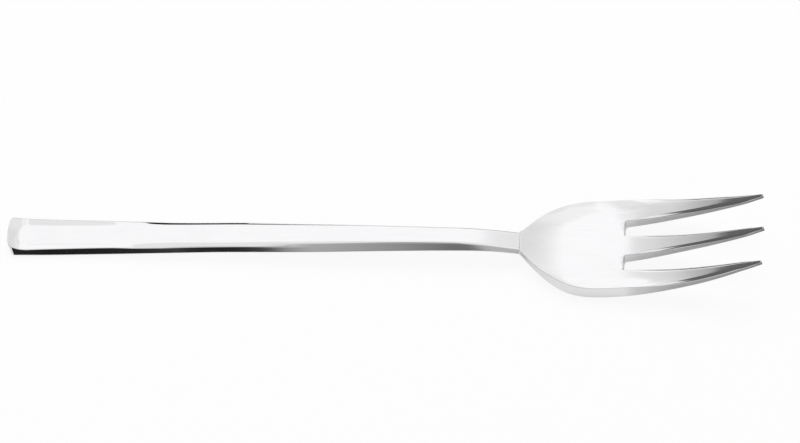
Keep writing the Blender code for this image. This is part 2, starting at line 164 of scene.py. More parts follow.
# Steel: the marks on it
HAIRLINES_PER_METRE = 9000.0
HAIRLINE_STRENGTH = 0.05
HAIRLINE_DEPTH = 0.000004
STREAKS_PER_METRE = 2400.0
WIPING_PER_METRE = 420.0
WIPING_STRETCH = 0.35
WAVES_PER_METRE = 130.0       # faint waves left by rolling and pressing
WAVE_STRETCH = 0.4
WAVE_STRENGTH = 0.12
WAVE_DEPTH = 0.00002
PATCHES_PER_METRE = 70.0
SMUDGE_START = 0.52           # value of the patches from which they carry a smudge
SMUDGE_GAIN = 6
EDGE_WEAR_WIDTH = 0.00015
EDGE_WEAR_GAIN = 6            # how sharply the wear on an edge sets in
TINT_SPREAD = 0.035           # the steel's two tints lie this share below and above its colour
WELD_X = HANDLE_LENGTH - LENGTH / 2
WELD_SHADE_LENGTH = 0.0100         # how far over the head the painted shade beside the weld reaches
WELD_PAINTED_SHADE = 0.1            # painted shade: how much darker the head's colour is beside the weld
CUT_WALL = "cut wall"         # kept on the head's walls: 0 up to the gaps' roots, 1 at the tines' tips; it makes them more matt and carries their painted shade
CUT_WALL_START = 0.2          # its value where a tine begins, reached over the share CUT_WALL_LEAD of a tine
CUT_WALL_LEAD = 0.1
CUT_WALL_PAINTED_SHADE = 0.75          # painted shade: how far a wall's colour is darkened towards black at the tips
ROUGHNESS_SHARES = {"hairlines": 0.03, "streaks": 0.06, "smudges": 0.07, "edges": 0.08, "cut wall": 0.2}
TINT_SHARES = {"patches": 0.5, "hairlines": 0.4, "streaks": 0.9, "smudges": -0.4, "edges": 0.3}

# Studio
WHITE = (1, 1, 1, 1)
FLOOR_REACH = 4.0
FLOOR_GAP = 0.00002           # the floor lies this far below the fork
FLOOR_COLOUR = (0.95, 0.95, 0.95, 1)
FLOOR_WHITENESS = 0.9         # share of plain white in the floor for the camera, the rest shows the shadow
FLOOR_WHITENESS_MIRRORED = 0.4
FILL_LIGHT = 0.5              # strength of the world where it only lights
LAMP_PLACE = Vector((-0.2, 0.8, 1.1))
LAMP_SIZE = 1.0
LAMP_POWER = 12.0             # watts

# Camera: the photograph's viewing angle, for an image of 800 by 443
IMAGE_WIDTH = 800
CAMERA_ELEVATION = 50         # degrees above the table, with the next two also in degrees
CAMERA_AZIMUTH = 5.0
CAMERA_ROLL = 2.35
CAMERA_DISTANCE = 1.2
CAMERA_TARGET = Vector((0.00302, 0.0046, 0.003))
PIXELS_PER_METRE = 5034       # at the camera's target
SENSOR_WIDTH = 36             # millimetres


def clamp(value, low=0.0, high=1.0):
    """Value held between two bounds."""
    return max(low, min(high, value))


def smooth(value):
    """Rises from 0 to 1 with level ends."""
    t = clamp(value)
    return t * t * (3 - 2 * t)


def arch(value):
    """Rises from 0 to 1 like smooth, but sets out with a little slope and comes in level."""
    t = clamp(value)
    return smooth(t) + ARCH_START * t * (1 - t) ** 2


def mix(start, end, share):
    """Straight blend of two values."""
    return start + (end - start) * share


# Handle

def handle_top(station):
    """Height of the level strip along the top: up to the crest, then down through the weld to the bowl."""
    if station <= CREST_STATION:
        return mix(END_FLOOR, CREST_HEIGHT, arch(station / CREST_STATION))
    run = smooth((station - CREST_STATION) / (BOWL_STATION - CREST_STATION))
    return mix(CREST_HEIGHT, BOWL_THICKNESS, run)


def handle_bottom(station):
    """Height of the underside: level at the end, then rising under the crest."""
    crest = CREST_HEIGHT - CREST_THICKNESS
    if station <= CREST_STATION:
        return crest * arch((station - REST_LENGTH) / (CREST_STATION - REST_LENGTH))
    past_crest = smooth((station - CREST_STATION) / CREST_TO_WELD)
    return handle_top(station) - mix(CREST_THICKNESS, WELD_THICKNESS, past_crest)


def flat_half_width(station):
    """Half of the level strip between the creases."""
    if station <= CREST_STATION:
        return mix(FLAT_WIDTH, CREST_FLAT_WIDTH, smooth(station / CREST_STATION) ** FLAT_POWER) / 2
    return mix(CREST_FLAT_WIDTH, WELD_FLAT_WIDTH, smooth((station - CREST_STATION) / CREST_TO_WELD)) / 2


def heel_half_width(station):
    """Half of the handle's width at its widest line."""
    flare = clamp(1 - station / FLARE_IN_LENGTH) ** FLARE_IN_POWER
    neck = smooth((station - NECK_START) / NECK_TAPER)
    return (mix(BAR_WIDTH, END_WIDTH, flare) - neck * (BAR_WIDTH - NECK_WIDTH)) / 2


def heel_height(station):
    """Height of the widest line above the underside, more at the neck, where the sides lean further in."""
    return mix(HEEL_HEIGHT, NECK_HEEL_HEIGHT, smooth((station - NECK_HEEL_START) / NECK_HEEL_BLEND))


def end_ramp(station):
    """Height that the dish's ramp adds towards the end of the handle."""
    return DISH_RISE * clamp(1 - station / DISH_RAMP) ** 2


def shoulder_point(station, crease, heel):
    """Edge between the band beside the flat and the leaning side.

    Along the dish the band rises to it. Past the dish the band slopes down more and more, until it is one
    facet with the side.
    """
    rise = SIDE_RISE * (1 - clamp(station / DISH_LENGTH) ** RIM_POWER)
    drop = BAND_DROP * clamp((station - BAND_START) / BAND_LENGTH)
    height = crease.y + rise - drop
    rim = Vector((heel.x - SIDE_LEAN * (height - heel.y), height))
    band = Vector((crease.x + BAND_WIDTH, height))
    shoulder = rim.lerp(band, smooth((station - DISH_LENGTH) / BAND_BLEND))
    return shoulder.lerp(crease.lerp(heel, 0.5), smooth((station - ONE_FACET_START) / ONE_FACET_BLEND))


def drawn_in(distance, radius):
    """How far a quarter-round edge lies inside its square corner, at a distance from the end."""
    left = radius - min(distance, radius)
    return radius - math.sqrt(radius ** 2 - left ** 2)


def soft_corner(before, corner, after, set_back):
    """Points of a soft corner with a short straight lead on each side of it."""
    to_before = before - corner
    to_after = after - corner
    start = corner + to_before.normalized() * min(set_back, to_before.length * CORNER_REACH)
    end = corner + to_after.normalized() * min(set_back, to_after.length * CORNER_REACH)
    points = [start + to_before.normalized() * CORNER_LEAD]
    for step in range(CORNER_STEPS):
        t = step / (CORNER_STEPS - 1)
        points.append(start * (1 - t) ** 2 + corner * (2 * t * (1 - t)) + end * t ** 2)
    points.append(end + to_after.normalized() * CORNER_LEAD)
    return points


def handle_half_section(station):
    """Half of the handle's outline across Y, from the middle of the top round to the middle underneath."""
    round_in = drawn_in(station, END_ROUND)
    corner_in = drawn_in(station, END_CORNER)
    floor = handle_top(station) + end_ramp(station) - round_in
    bottom = handle_bottom(station) + round_in
    flat_corner_in = drawn_in(max(station - DISH_RAMP / 2, 0), FLAT_CORNER)
    crease = Vector((flat_half_width(station) - flat_corner_in, floor))
    heel = Vector((heel_half_width(station) - corner_in, handle_bottom(station) + heel_height(station)))
    shoulder = shoulder_point(station, crease, heel)
    keel_edge = Vector((heel.x - KEEL_INSET, bottom))
    middle = Vector((0, crease.y))
    keel = Vector((0, bottom))
    past_dish = smooth((station - DISH_LENGTH) / BAND_BLEND)
    crease_round = mix(DISH_CREASE_ROUND, BAR_CREASE_ROUND, past_dish)
    corners = soft_corner(middle, crease, shoulder, crease_round)
    corners += soft_corner(crease, shoulder, heel, SHOULDER_ROUND)
    corners += soft_corner(shoulder, heel, keel_edge, HEEL_ROUND)
    corners += soft_corner(heel, keel_edge, keel, HEEL_ROUND)
    top = [middle.lerp(corners[0], step / FLAT_STEPS) for step in range(FLAT_STEPS)]
    underside = [corners[-1].lerp(keel, (step + 1) / FLAT_STEPS) for step in range(FLAT_STEPS)]
    return top + corners + underside


def end_shift(station, y, z):
    """How far the bowed, leaning end face moves a point towards the neck."""
    fade = clamp(1 - station / END_FADE) ** 2
    bow = END_BOW * (2 * y / END_WIDTH) ** 2
    lean = END_UNDERCUT * clamp(1 - z / (END_FLOOR + DISH_RISE))
    return (bow + lean) * fade


def handle_stations():
    """Stations of the handle's sections, close together round the end and along the dish's ramp."""
    stations = [END_ROUND * (1 - math.cos(math.pi / 2 * step / END_STEPS)) for step in range(END_STEPS)]
    stations += stretch_stations(END_ROUND, END_CORNER, END_STEPS)
    ramp_end = DISH_RAMP * RAMP_REACH
    stations += stretch_stations(END_CORNER, ramp_end, RAMP_STEPS)
    handle_end = HANDLE_LENGTH - WELD_SEAM / 2
    stations += stretch_stations(ramp_end, handle_end, math.ceil((handle_end - ramp_end) / STATION_STEP))
    return stations


def stretch_stations(start, end, count):
    """Stations at the ends of a number of equal steps from start to end."""
    return [mix(start, end, (step + 1) / count) for step in range(count)]


def make_handle(material):
    """The handle as a fine loft through its half sections, mirrored across the fork."""
    mesh = bmesh.new()
    rings = []
    for station in handle_stations():
        ring = []
        for point in handle_half_section(station):
            x = station - LENGTH / 2 + end_shift(station, point.x, point.y)
            ring.append(mesh.verts.new((x, point.x, point.y)))
        rings.append(ring)
    for near, far in zip(rings, rings[1:]):
        for index in range(len(near) - 1):
            mesh.faces.new((near[index], far[index], far[index + 1], near[index + 1]))
    close_half_ring(mesh, rings[0])
    close_half_ring(mesh, rings[-1], at_weld=True)
    half = mesh.verts[:] + mesh.edges[:] + mesh.faces[:]
    bmesh.ops.mirror(mesh, geom=half, axis="Y", merge_dist=MERGE_DISTANCE)
    bmesh.ops.recalc_face_normals(mesh, faces=mesh.faces[:])
    return finished_piece("bar_handle", mesh, material)


def close_half_ring(mesh, ring, at_weld=False):
    """Fill an end of the loft with strips from its upper to its lower points."""
    last = len(ring) - 1
    for index in range(last // 2):
        corners = (ring[index], ring[index + 1], ring[last - index - 1], ring[last - index])
        mesh.faces.new(corners[::-1] if at_weld else corners)


def new_object(name, mesh):
    """An object at the origin that takes over an edited mesh."""
    data = bpy.data.meshes.new(name)
    mesh.to_mesh(data)
    mesh.free()
    made = bpy.data.objects.new(name, data)
    bpy.context.scene.collection.objects.link(made)
    return made


def finished_piece(name, mesh, material):
    """A piece of the fork, smooth-shaded with its real edges kept sharp."""
    piece = new_object(name, mesh)
    piece.data.materials.append(material)
    piece.data.shade_smooth()
    piece.data.set_sharp_from_angle(angle=math.radians(SHARP_ANGLE))
    return piece


# Node trees, written as expressions

class Value:
    """A node's output in an expression: each operator adds its Math node to the tree."""

    def __init__(self, nodes, socket):
        self.nodes = nodes
        self.socket = socket

    def maths(self, operation, *values):
        """Add a Math node on some values."""
        return self.nodes.add("ShaderNodeMath", {"operation": operation}, dict(enumerate(values)))

    def __add__(self, other):
        return self.maths("ADD", self, other)

    def __radd__(self, other):
        return self.maths("ADD", other, self)

    def __sub__(self, other):
        return self.maths("SUBTRACT", self, other)

    def __rsub__(self, other):
        return self.maths("SUBTRACT", other, self)

    def __mul__(self, other):
        return self.maths("MULTIPLY", self, other)

    def __rmul__(self, other):
        return self.maths("MULTIPLY", other, self)

    def __truediv__(self, other):
        return self.maths("DIVIDE", self, other)

    def __rtruediv__(self, other):
        return self.maths("DIVIDE", other, self)

    def __pow__(self, other):
        return self.maths("POWER", self, other)

    def __gt__(self, other):
        return self.maths("GREATER_THAN", self, other)

    def __lt__(self, other):
        return self.maths("LESS_THAN", self, other)

    def size(self):
        """The value without its sign."""
        return self.maths("ABSOLUTE", self)

    def sign(self):
        """1, 0 or -1."""
        return self.maths("SIGN", self)

    def at_most(self, other):
        """The smaller of two values."""
        return self.maths("MINIMUM", self, other)

    def at_least(self, other):
        """The larger of two values."""
        return self.maths("MAXIMUM", self, other)

    def clamped(self):
        """The value held between 0 and 1."""
        return self.nodes.add("ShaderNodeClamp", values={"Value": self})

    def smoothed(self):
        """The value held between 0 and 1, with level ends."""
        held = self.clamped()
        return held * held * (3 - 2 * held)


class Nodes:
    """A node tree that is filled from Python."""

    def __init__(self, tree):
        self.tree = tree
        tree.nodes.clear()

    def add(self, kind, settings=None, values=None, output=0):
        """Add a node: its settings first, then the values or links of its sockets. Gives one output."""
        node = self.tree.nodes.new(kind)
        for name, setting in (settings or {}).items():
            if name == "stops":
                self.set_stops(node.color_ramp, setting)
            else:
                setattr(node, name, setting)
        for key, value in (values or {}).items():
            self.feed(node.inputs[key], value)
        return Value(self, node.outputs[output]) if len(node.outputs) else None

    def feed(self, socket, value):
        """Link a value, or each of a list of values, into a socket, or set it to something plain."""
        if isinstance(value, list):
            for item in value:
                self.feed(socket, item)
        elif isinstance(value, Value):
            self.tree.links.new(value.socket, socket)
        else:
            socket.default_value = value

    def outputs(self, value, *names):
        """Further outputs of the node that a value came from."""
        return [Value(self, value.socket.node.outputs[name]) for name in names]

    def place(self, axis):
        """One coordinate of each point, read where it is used."""
        point = self.add("GeometryNodeInputPosition")
        return self.add("ShaderNodeSeparateXYZ", values={0: point}, output=axis)

    def stored(self, name, value, geometry, kind="FLOAT_VECTOR", domain="POINT", where=True):
        """The geometry with a value kept under a name."""
        return self.add("GeometryNodeStoreNamedAttribute", {"data_type": kind, "domain": domain}, {
            "Geometry": geometry, "Selection": where, "Name": name, "Value": value,
        })

    def recalled(self, name):
        """The vector kept under a name."""
        return self.add("GeometryNodeInputNamedAttribute", {"data_type": "FLOAT_VECTOR"}, {"Name": name})

    @staticmethod
    def set_stops(ramp, stops):
        """Give a colour ramp its stops: pairs of place and grey."""
        while len(ramp.elements) > 1:
            ramp.elements.remove(ramp.elements[-1])
        for index, (place, grey) in enumerate(stops):
            element = ramp.elements[0] if index == 0 else ramp.elements.new(place)
            element.position = place
            element.color = (grey, grey, grey, 1)


# Head

HEAD_SIZES = {
    "Weld station": HANDLE_LENGTH + WELD_SEAM / 2,
    "Bowl station": BOWL_STATION,
    "Root station": ROOT_STATION,
    "Length": LENGTH,
    "Neck width": NECK_WIDTH,
    "Head width": HEAD_WIDTH,
    "Widest to tip": WIDEST_TO_TIP,
    "Flare length": FLARE_LENGTH,
    "Tine toe-in": TINE_TOE_IN,
    "Middle root width": MIDDLE_ROOT_WIDTH,
    "Gap width": GAP_WIDTH,
    "Tine end width": TINE_END_WIDTH,
    "Tip width": TIP_WIDTH,
    "Point length": POINT_LENGTH,
    "Bowl thickness": BOWL_THICKNESS,
    "Tip thickness": TIP_THICKNESS,
    "Tip height": TIP_HEIGHT,
    "Bowl dish": BOWL_DISH,
}

# Columns of the head's grid, counted from its middle to its rim. Each edge has a narrow strip beside it.
MIDDLE_COLUMNS = 3
GAP_COLUMNS = 7
OUTER_COLUMNS = 3
GAP_START = MIDDLE_COLUMNS + 1
OUTER_START = GAP_START + GAP_COLUMNS
RIM_STRIP_START = OUTER_START + 1 + OUTER_COLUMNS
RIM = RIM_STRIP_START + 1


def new_geometry_tree(name, sizes):
    """A geometry tree with a named input for each size. Gives its nodes and the values of the inputs."""
    tree = bpy.data.node_groups.new(name, "GeometryNodeTree")
    for title, size in sizes.items():
        socket = tree.interface.new_socket(title, in_out="INPUT", socket_type="NodeSocketFloat")
        socket.default_value = size
    tree.interface.new_socket("Geometry", in_out="OUTPUT", socket_type="NodeSocketGeometry")
    nodes = Nodes(tree)
    group = nodes.add("NodeGroupInput")
    return nodes, dict(zip(sizes, nodes.outputs(group, *sizes)))


def head_half_width(station, size):
    """Half of the head's outline: a rounded flare from the neck, then a gentle draw-in to the tips."""
    flare = ((station - HANDLE_LENGTH - COLLAR) / size["Flare length"]).clamped()
    grown = 1 - (1 - flare) ** FLARE_POWER
    width = mix(size["Neck width"] / 2, size["Head width"] / 2, grown)
    past_widest = ((station - size["Length"] + size["Widest to tip"]) / size["Widest to tip"]).clamped()
    return width - size["Tine toe-in"] * past_widest ** TOE_IN_POWER


def head_height(station, across, size):
    """Height of the head's upper face, across is 0 in the middle and 1 at the rim."""
    to_bowl = ((station - CREST_STATION) / (size["Bowl station"] - CREST_STATION)).smoothed()
    neck = mix(CREST_HEIGHT, size["Bowl thickness"], to_bowl)
    sweep = ((station - size["Bowl station"]) / (size["Length"] - size["Bowl station"])).clamped()
    swept = (size["Tip height"] - size["Bowl thickness"]) * sweep ** SWEEP_POWER
    dish = ((station - HANDLE_LENGTH) / DISH_START).smoothed()
    faded = 1 - ((station - size["Root station"]) / DISH_FADE).smoothed()
    return neck + swept + size["Bowl dish"] * dish * faded * across ** DISH_POWER


def along_tine(station, size):
    """0 up to the gaps' roots, then rising to 1 at the tips."""
    root = size["Root station"]
    return ((station - root) / (size["Length"] - root)).clamped()


def head_thickness(station, across, size):
    """Thickness of the pressed sheet: rounded off underneath at the neck, and thinner towards the tips."""
    past_weld = ((station - HANDLE_LENGTH) / WELD_TO_BOWL).smoothed()
    rounded_off = NECK_ROUNDING * (1 - past_weld) * across ** 2
    sheet = mix(WELD_THICKNESS, size["Bowl thickness"], past_weld) - rounded_off
    return sheet - (size["Bowl thickness"] - size["Tip thickness"]) * along_tine(station, size)


def on_line(line, number):
    """1 on the row or column of that number, 0 on the others."""
    return (line > number - 0.5) * (line < number + 0.5)


class HeadGrid:
    """The flat grid that becomes the head: columns outwards from its middle, rows from the weld on."""

    def __init__(self, nodes):
        rows = BOWL_ROWS + TINE_ROWS
        self.mesh = nodes.add("GeometryNodeMeshGrid", values={
            "Size X": 2 * RIM, "Size Y": rows, "Vertices X": 2 * RIM + 1, "Vertices Y": rows + 1,
        })
        x = nodes.place("X")
        self.side = x.sign()
        self.column = x.size()
        self.row = nodes.place("Y") + rows / 2
        self.gap_run = self.run(GAP_START, GAP_COLUMNS)
        self.rim_strip_run = self.run(RIM_STRIP_START, 1)
        self.at_root = on_line(self.row, BOWL_ROWS)

    def run(self, start, count):
        """Goes from 0 to 1 over a number of columns."""
        return ((self.column - start) / count).clamped()

    def spread(self, middle_edge, inner_edge, rim, middle_strip, outer_strip):
        """Distance of the columns from the middle, between the edges of the tines, up to the rim's strip."""
        y = (middle_edge - middle_strip) * self.run(0, MIDDLE_COLUMNS)
        y = y + middle_strip * self.run(MIDDLE_COLUMNS, 1)
        y = y + (inner_edge - middle_edge) * self.gap_run
        y = y + outer_strip * self.run(OUTER_START, 1)
        return y + (rim - inner_edge - 2 * outer_strip) * self.run(OUTER_START + 1, OUTER_COLUMNS)


def row_stations(grid, tip, size):
    """Stations of the grid's points. A gap's root has rounded corners."""
    root = size["Root station"]
    bowl_run = (grid.row / BOWL_ROWS).clamped() ** ROW_POWER
    tine_run = ((grid.row - BOWL_ROWS) / TINE_ROWS).clamped()
    from_side = (0.5 - (grid.gap_run - 0.5).size()) * size["Gap width"]
    left = (GAP_CORNER - from_side).at_least(0)
    corner_in = GAP_CORNER - (GAP_CORNER ** 2 - left * left) ** 0.5
    station = mix(size["Weld station"], root - GAP_CORNER, bowl_run)
    station = station + grid.at_root * (GAP_CORNER + corner_in)
    return station + (tine_run > 0) * (tine_run * (tip - root - GAP_CORNER) + 2 * GAP_CORNER)


def tine_edges(station, tip, size):
    """Distances from the middle of the fork: the middle tine's edge, the outer tine's two edges."""
    root = size["Root station"]
    point_start = tip - size["Point length"]
    taper = ((station - root) / (point_start - root)).clamped()
    drawn_to_point = ((station - point_start) / size["Point length"]).clamped() ** POINT_POWER
    middle_edge = mix(size["Middle root width"], size["Tine end width"], taper) / 2
    middle_edge = mix(middle_edge, size["Tip width"] / 2, drawn_to_point)
    inner_root = size["Middle root width"] / 2 + size["Gap width"]
    inner_edge = mix(inner_root, head_half_width(point_start, size) - size["Tine end width"], taper)
    rim = head_half_width(station.at_most(point_start), size)
    centre = (inner_edge + rim) / 2
    half = mix((rim - inner_edge) / 2, size["Tip width"] / 2, drawn_to_point)
    return middle_edge, centre - half, centre + half


def bowl_offset(grid, station, size):
    """Distance from the middle in the bowl: the columns keep the shares that they have at the root."""
    middle_edge = size["Middle root width"] / 2
    root_rim = head_half_width(size["Root station"], size)
    at_root = grid.spread(middle_edge, middle_edge + size["Gap width"], root_rim, EDGE_STRIP, EDGE_STRIP)
    share = (head_half_width(station, size) - EDGE_STRIP) / (root_rim - EDGE_STRIP)
    return at_root * share + EDGE_STRIP * grid.rim_strip_run


def soft_edges(grid, station, middle_strip, outer_strip, size):
    """How far the upper edges are lowered, and how far the underside's edges are drawn in.

    The tines' long edges are rounded over more and more. The edge at a gap's root is rolled over in its
    middle.
    """
    softness = ((station - size["Root station"]) / EDGE_SOFT_LENGTH).smoothed()
    at_middle_edge = on_line(grid.column, GAP_START)
    at_inner_edge = on_line(grid.column, OUTER_START)
    at_rim = on_line(grid.column, RIM)
    strip = middle_strip * at_middle_edge + outer_strip * (at_inner_edge + at_rim)
    rolled = 4 * grid.gap_run * (1 - grid.gap_run) * grid.at_root
    drop = EDGE_SLOPE * softness * strip + ROOT_ROLL * rolled
    inwards = at_inner_edge - at_middle_edge - at_rim
    return drop, EDGE_UNDERCUT * softness * strip * inwards * grid.side


def upper_face(nodes, size):
    """The head's upper face with its gaps cut. Its points keep the sizes that the underside needs."""
    grid = HeadGrid(nodes)
    tip = size["Length"] - OUTER_TINE_SHORTER * (grid.column > OUTER_START - 0.5)
    station = row_stations(grid, tip, size)
    middle_edge, inner_edge, rim = tine_edges(station, tip, size)
    middle_strip = (middle_edge * EDGE_STRIP_LIMIT).at_most(EDGE_STRIP)
    outer_strip = ((rim - inner_edge) / 2 * EDGE_STRIP_LIMIT).at_most(EDGE_STRIP)
    tine_y = grid.spread(middle_edge, inner_edge, rim, middle_strip, outer_strip)
    tine_y = tine_y + outer_strip * grid.rim_strip_run
    y = mix(bowl_offset(grid, station, size), tine_y, grid.row > BOWL_ROWS - 0.5)
    across = (y / head_half_width(station, size)).at_most(1)
    thickness = head_thickness(station, across, size)
    drop, inset = soft_edges(grid, station, middle_strip, outer_strip, size)

    in_gap = (grid.column > GAP_START) * (grid.column < OUTER_START) * (grid.row > BOWL_ROWS)
    opened = nodes.add("GeometryNodeDeleteGeometry", {"domain": "FACE"}, {
        "Geometry": grid.mesh, "Selection": in_gap,
    })
    point_sizes = nodes.add("ShaderNodeCombineXYZ", values={"X": thickness, "Y": inset, "Z": drop})
    kept = nodes.stored("point sizes", point_sizes, opened)
    where = nodes.add("ShaderNodeCombineXYZ", values={
        "X": station - size["Length"] / 2, "Y": y * grid.side, "Z": head_height(station, across, size),
    })
    placed = nodes.add("GeometryNodeSetPosition", values={"Geometry": kept, "Position": where})
    return nodes.add("GeometryNodeFlipFaces", values={"Mesh": placed})


def closed_sheet(nodes, upper, size):
    """The upper face with its walls and underside, which lies square below it before its edges drop."""
    thickness = nodes.add("ShaderNodeSeparateXYZ", values={0: nodes.recalled("point sizes")})
    inset, drop = nodes.outputs(thickness, "Y", "Z")
    normal = nodes.add("GeometryNodeInputNormal")
    downwards = nodes.add("ShaderNodeVectorMath", {"operation": "SCALE"}, {
        "Vector": normal, "Scale": -1 * thickness,
    })
    undercut = nodes.add("ShaderNodeCombineXYZ", values={"Y": inset, "Z": drop})
    to_underside = nodes.add("ShaderNodeVectorMath", {"operation": "ADD"}, {0: downwards, 1: undercut})
    measured = nodes.stored("to underside", to_underside, upper)
    lowering = nodes.add("ShaderNodeCombineXYZ", values={"Z": -1 * drop})
    sheet = nodes.add("GeometryNodeSetPosition", values={"Geometry": measured, "Offset": lowering})
    walled = nodes.add("GeometryNodeExtrudeMesh", {"mode": "FACES"}, {
        "Mesh": sheet, "Offset Scale": 0.0, "Individual": False,
    })
    underside, walls = nodes.outputs(walled, "Top", "Side")
    lowered = nodes.add("GeometryNodeSetPosition", values={
        "Geometry": with_marked_walls(nodes, walled, walls, size), "Selection": underside,
        "Offset": nodes.recalled("to underside"),
    })
    turned = nodes.add("GeometryNodeFlipFaces", values={"Mesh": lowered})
    joined = nodes.add("GeometryNodeJoinGeometry", values={"Geometry": [sheet, turned]})
    return nodes.add("GeometryNodeMergeByDistance", values={"Geometry": joined, "Distance": MERGE_DISTANCE})


def with_marked_walls(nodes, geometry, walls, size):
    """The geometry with CUT_WALL kept on its walls, where it makes them more matt and darkens them with
    painted shade.
    """
    share = along_tine(nodes.place("X") + size["Length"] / 2, size)
    # the walls' share rises towards the tips; it sets both their roughness and their painted shade
    wall_matt_and_shade = (share / CUT_WALL_LEAD).smoothed() * mix(CUT_WALL_START, 1, share)
    return nodes.stored(CUT_WALL, wall_matt_and_shade, geometry, kind="FLOAT", domain="CORNER", where=walls)


def head_tree(material):
    """The geometry tree of the head: a sheet that parts into three tines."""
    nodes, size = new_geometry_tree("Pressed head", HEAD_SIZES)
    closed = closed_sheet(nodes, upper_face(nodes, size), size)
    plain = nodes.add("GeometryNodeRealizeInstances", values={"Geometry": closed})
    finished = nodes.add("GeometryNodeSetMaterial", values={"Geometry": plain, "Material": material})
    nodes.add("NodeGroupOutput", values={"Geometry": finished})
    return nodes.tree


def make_head(material):
    """The head from its tree, with softened edges and a flat face at the weld."""
    data = bpy.data.meshes.new("head_grid")
    head = bpy.data.objects.new("head_grid", data)
    bpy.context.scene.collection.objects.link(head)
    shape = head.modifiers.new("Pressed head", "NODES")
    shape.node_group = head_tree(material)
    for socket in shape.node_group.interface.items_tree:
        if socket.name in HEAD_SIZES:
            shape[socket.identifier] = HEAD_SIZES[socket.name]
    bevel = head.modifiers.new("Soft edges", "BEVEL")
    bevel.width = HEAD_ROUND
    bevel.segments = 2
    bevel.limit_method = "ANGLE"
    bevel.angle_limit = math.radians(BEVEL_ANGLE)
    fine = head.modifiers.new("Fine surface", "SUBSURF")
    fine.levels = HEAD_LEVELS
    fine.render_levels = HEAD_LEVELS
    evaluated = head.evaluated_get(bpy.context.evaluated_depsgraph_get())
    plain = bpy.data.meshes.new_from_object(evaluated)
    bpy.data.objects.remove(head)
    mesh = bmesh.new()
    mesh.from_mesh(plain)
    trim_at_weld(mesh)
    return finished_piece("pressed_head", mesh, material)


def trim_at_weld(mesh):
    """Cut the head off flat at the weld and close the cut."""
    weld = Vector((HEAD_SIZES["Weld station"] - LENGTH / 2, 0, 0))
    everything = mesh.verts[:] + mesh.edges[:] + mesh.faces[:]
    cut = bmesh.ops.bisect_plane(mesh, geom=everything, plane_co=weld, plane_no=(1, 0, 0), clear_inner=True)
    edges = [item for item in cut["geom_cut"] if isinstance(item, bmesh.types.BMEdge)]
    bmesh.ops.edgeloop_fill(mesh, edges=edges)


# Materials

def new_material(name):
    """An empty node material and its nodes."""
    material = bpy.data.materials.new(name)
    material.use_nodes = True
    return material, Nodes(material.node_tree)


def noise(nodes, place, per_metre, detail=2.0, stretch=(1, 1, 1)):
    """Noise from 0 to 1 over the object, drawn out along an axis where its stretch is below 1."""
    stretched = nodes.add("ShaderNodeVectorMath", {"operation": "MULTIPLY"}, {0: place, 1: stretch})
    return nodes.add("ShaderNodeTexNoise", values={
        "Vector": stretched, "Scale": per_metre, "Detail": detail,
    })


def worn_edges(nodes):
    """1 along the edges that stand out and are rubbed by use, 0 on the faces."""
    rounded = nodes.add("ShaderNodeBevel", {"samples": 4}, {"Radius": EDGE_WEAR_WIDTH})
    normal = nodes.add("ShaderNodeNewGeometry", output="Normal")
    turned = nodes.add("ShaderNodeVectorMath", {"operation": "DOT_PRODUCT"}, {0: rounded, 1: normal},
                       output="Value")
    return ((1 - turned) * EDGE_WEAR_GAIN).clamped()


def blended(nodes, factor, first, second):
    """Blend of two colours."""
    return nodes.add("ShaderNodeMix", {"data_type": "RGBA"}, {
        "Factor": factor, 6: first, 7: second,
    }, output=2)


def shaded(colour, factor):
    """A colour made darker or paler, for a socket."""
    return (*[min(channel * factor, 1) for channel in colour], 1)


def summed(start, shares, marks):
    """A value that each mark raises or lowers by its share."""
    for mark, share in shares.items():
        start = start + share * marks[mark]
    return start


